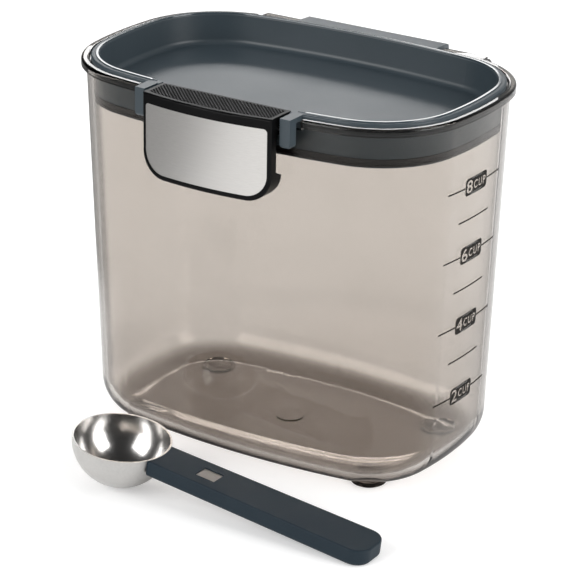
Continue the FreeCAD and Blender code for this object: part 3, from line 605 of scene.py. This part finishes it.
def add_thumb_pad():
    """Small round dots on the latch's top: cosines of x+y and x-y multiplied, faded at its border."""
    across = np.linspace(-1.0, 1.0, PAD_COLUMNS)[:, None]
    depth = np.linspace(0.0, 1.0, PAD_ROWS)[None, :]
    x = across * PAD_HALF + 0.0 * depth
    front = LATCH_FRONT_Y + LATCH_BOW - np.sqrt(LATCH_BOW ** 2 - x ** 2) + PAD_FRONT_MARGIN
    y = front + depth * (PAD_BACK_Y - front)
    turn = 2.0 * math.pi / (DOT_PITCH * math.sqrt(2.0))
    dots = 0.25 * (1.0 + np.cos(turn * (x + y))) * (1.0 + np.cos(turn * (x - y)))
    edge = np.minimum(PAD_HALF - np.abs(x), np.minimum(y - front, PAD_BACK_Y - y))
    sunk = 1.0 - np.clip(edge / PAD_SINK_WIDTH, 0.0, 1.0)
    fade = np.clip(edge / DOT_FADE_WIDTH, 0.0, 1.0)
    z = TOP_FACE - PAD_SINK * sunk + fade * (PAD_SKIN + DOT_HEIGHT * dots)
    points = np.stack([x, y, z], axis=2).reshape(-1, 3)
    black = plastic("black_pad", PAD_TONES, gloss=0.5, depth=0.02, specular=0.2)
    add_piece("thumb_pad_dots", points, grid_faces(PAD_COLUMNS, PAD_ROWS), black, "latch")


def tray_outline(angle, offset):
    """Plan of the lid's tray, moved out by offset: an arc at each end and side and a tighter one at each
    corner, all tangent, found from the direction they face."""
    turn = np.arctan2(np.abs(np.sin(angle)), np.abs(np.cos(angle)))
    place = [turn < END_TURN, turn < SIDE_TURN]
    centre_x = np.select(place, [END_CENTRE_X, CORNER_CENTRE[0]], 0.0)
    centre_y = np.select(place, [0.0, CORNER_CENTRE[1]], SIDE_CENTRE_Y)
    radius = np.select(place, [END_RADIUS, CORNER_RADIUS], SIDE_RADIUS) + offset
    x = np.sign(np.cos(angle)) * (centre_x + radius * np.cos(turn))
    y = np.sign(np.sin(angle)) * (centre_y + radius * np.sin(turn))
    return x, y


def add_land_bead():
    """Raised bead beside the tray's edge: a low flat-topped section swept round the tray's outline, from one
    side of the latch round the back to the other, and sinking into the land at its two ends."""
    start = BEAD_START - 0.5 * math.pi
    right_half = [start, -SIDE_TURN, -END_TURN, END_TURN, SIDE_TURN]
    turns = right_half + [math.pi - turn for turn in reversed(right_half)]
    stations = np.linspace(0.0, len(turns) - 1.0, BEAD_STEPS)
    angle = np.interp(stations, np.arange(len(turns)), turns)[:, None]
    ends = np.clip(np.minimum(stations, stations[-1] - stations) / BEAD_END_RUN, 0.0, 1.0)[:, None]
    x, y = tray_outline(angle, BEAD_INNER + BEAD_WIDTH * BEAD_ACROSS)
    z = TOP_FACE + BEAD_HEIGHT * (BEAD_RISE * ends - BEAD_END_SINK * (1.0 - ends))
    points = np.stack([x, y, z], axis=2).reshape(-1, 3)
    slate = plastic("slate_gloss", SLATE_TONES, gloss=0.07, gloss_spread=0.02, depth=0.006, specular=0.8)
    add_piece("land_bead", points, grid_faces(BEAD_STEPS, BEAD_RISE.size), slate, "lid")


# Stage

def paper(name, glow, shades):
    """White studio paper with a little light of its own, dimmer in mirrored rays by the greatest of its
    shades, each a measure with its values where the shade starts and is full, and how much it takes."""
    material, tree, output = new_material(name)
    place = object_place(tree)
    noise = add_node(tree, "TexNoise", {"Vector": place, "Scale": 3.0}).outputs["Fac"]
    tone = ramp(tree, noise, 0.0, 1.0, low=PAPER_TONE - PAPER_DRIFT, high=PAPER_TONE + PAPER_DRIFT)
    diffuse = add_node(tree, "BsdfDiffuse", {"Color": tone})
    light = add_node(tree, "Emission", {"Strength": glow})
    lit = add_node(tree, "AddShader", {0: diffuse.outputs[0], 1: light.outputs[0]})
    split = add_node(tree, "SeparateXYZ", {0: place}).outputs
    reach = add_node(tree, "VectorMath", {0: place}, operation="LENGTH").outputs["Value"]
    measures = {"X": split["X"], "Y": split["Y"], "Z": split["Z"], "reach": reach}
    shade = 0.0
    for measure, start, full, amount in shades:
        taken = ramp(tree, measures[measure], start, full, high=amount, kind="SMOOTHSTEP")
        shade = calculate(tree, "MAXIMUM", shade, taken)
    share = calculate(tree, "MULTIPLY", mirrored_ray(tree), shade)
    dark = add_node(tree, "BsdfDiffuse", {"Color": (*PAPER_SHADE_TONE, 1)})
    mixed = add_node(tree, "MixShader", {0: share, 1: lit.outputs[0], 2: dark.outputs[0]})
    tree.links.new(mixed.outputs[0], output.inputs["Surface"])
    return material


def add_stage_plane(name, corners, material):
    """A flat four-cornered stage card in metres."""
    mesh = bpy.data.meshes.new(name)
    mesh.from_pydata(corners, [], [(0, 1, 2, 3)])
    mesh.materials.append(material)
    card = bpy.data.objects.new(name, mesh)
    bpy.context.scene.collection.objects.link(card)


def add_softbox(name, place, aim, width, height, power):
    """A rectangular studio lamp aimed at a point."""
    data = bpy.data.lights.new(name, "AREA")
    data.shape = "RECTANGLE"
    data.size = width
    data.size_y = height
    data.energy = power
    lamp = bpy.data.objects.new(name, data)
    bpy.context.scene.collection.objects.link(lamp)
    lamp.location = place
    lamp.rotation_euler = (Vector(aim) - Vector(place)).to_track_quat("-Z", "Y").to_euler()
    lamp.visible_camera = False
    lamp.visible_glossy = name != UNMIRRORED_SOFTBOX


def set_studio():
    """White floor and backdrop in dim surroundings, with a lamp overhead and softboxes at the right, the back
    and the front left."""
    floor = [(-STAGE_HALF, STAGE_FRONT, 0), (STAGE_HALF, STAGE_FRONT, 0),
             (STAGE_HALF, STAGE_BACK, 0), (-STAGE_HALF, STAGE_BACK, 0)]
    backdrop = [(BACKDROP_LEFT, STAGE_BACK, 0), (STAGE_HALF, STAGE_BACK, 0),
                (STAGE_HALF, STAGE_BACK, BACKDROP_TOP), (BACKDROP_LEFT, STAGE_BACK, BACKDROP_TOP)]
    add_stage_plane("floor", floor, paper("floor_paper", FLOOR_GLOW, FLOOR_SHADES))
    add_stage_plane("backdrop", backdrop, paper("backdrop_paper", BACKDROP_GLOW, BACKDROP_SHADES))
    for name, setting in SOFTBOXES.items():
        add_softbox(name, *setting)
    world = bpy.data.worlds.new("studio")
    bpy.context.scene.world = world
    world.use_nodes = True
    tree = world.node_tree
    background = tree.nodes["Background"]
    background.inputs["Color"].default_value = (1, 1, 1, 1)
    level = blend(tree, mirrored_ray(tree), WORLD_LEVEL, WORLD_MIRRORED_LEVEL, kind="FLOAT")
    tree.links.new(level, background.inputs["Strength"])
    bpy.context.scene.view_settings.view_transform = "Standard"


place_camera()
set_studio()
dress_nodes()
add_cup_scale()
add_thumb_pad()
add_land_bead()
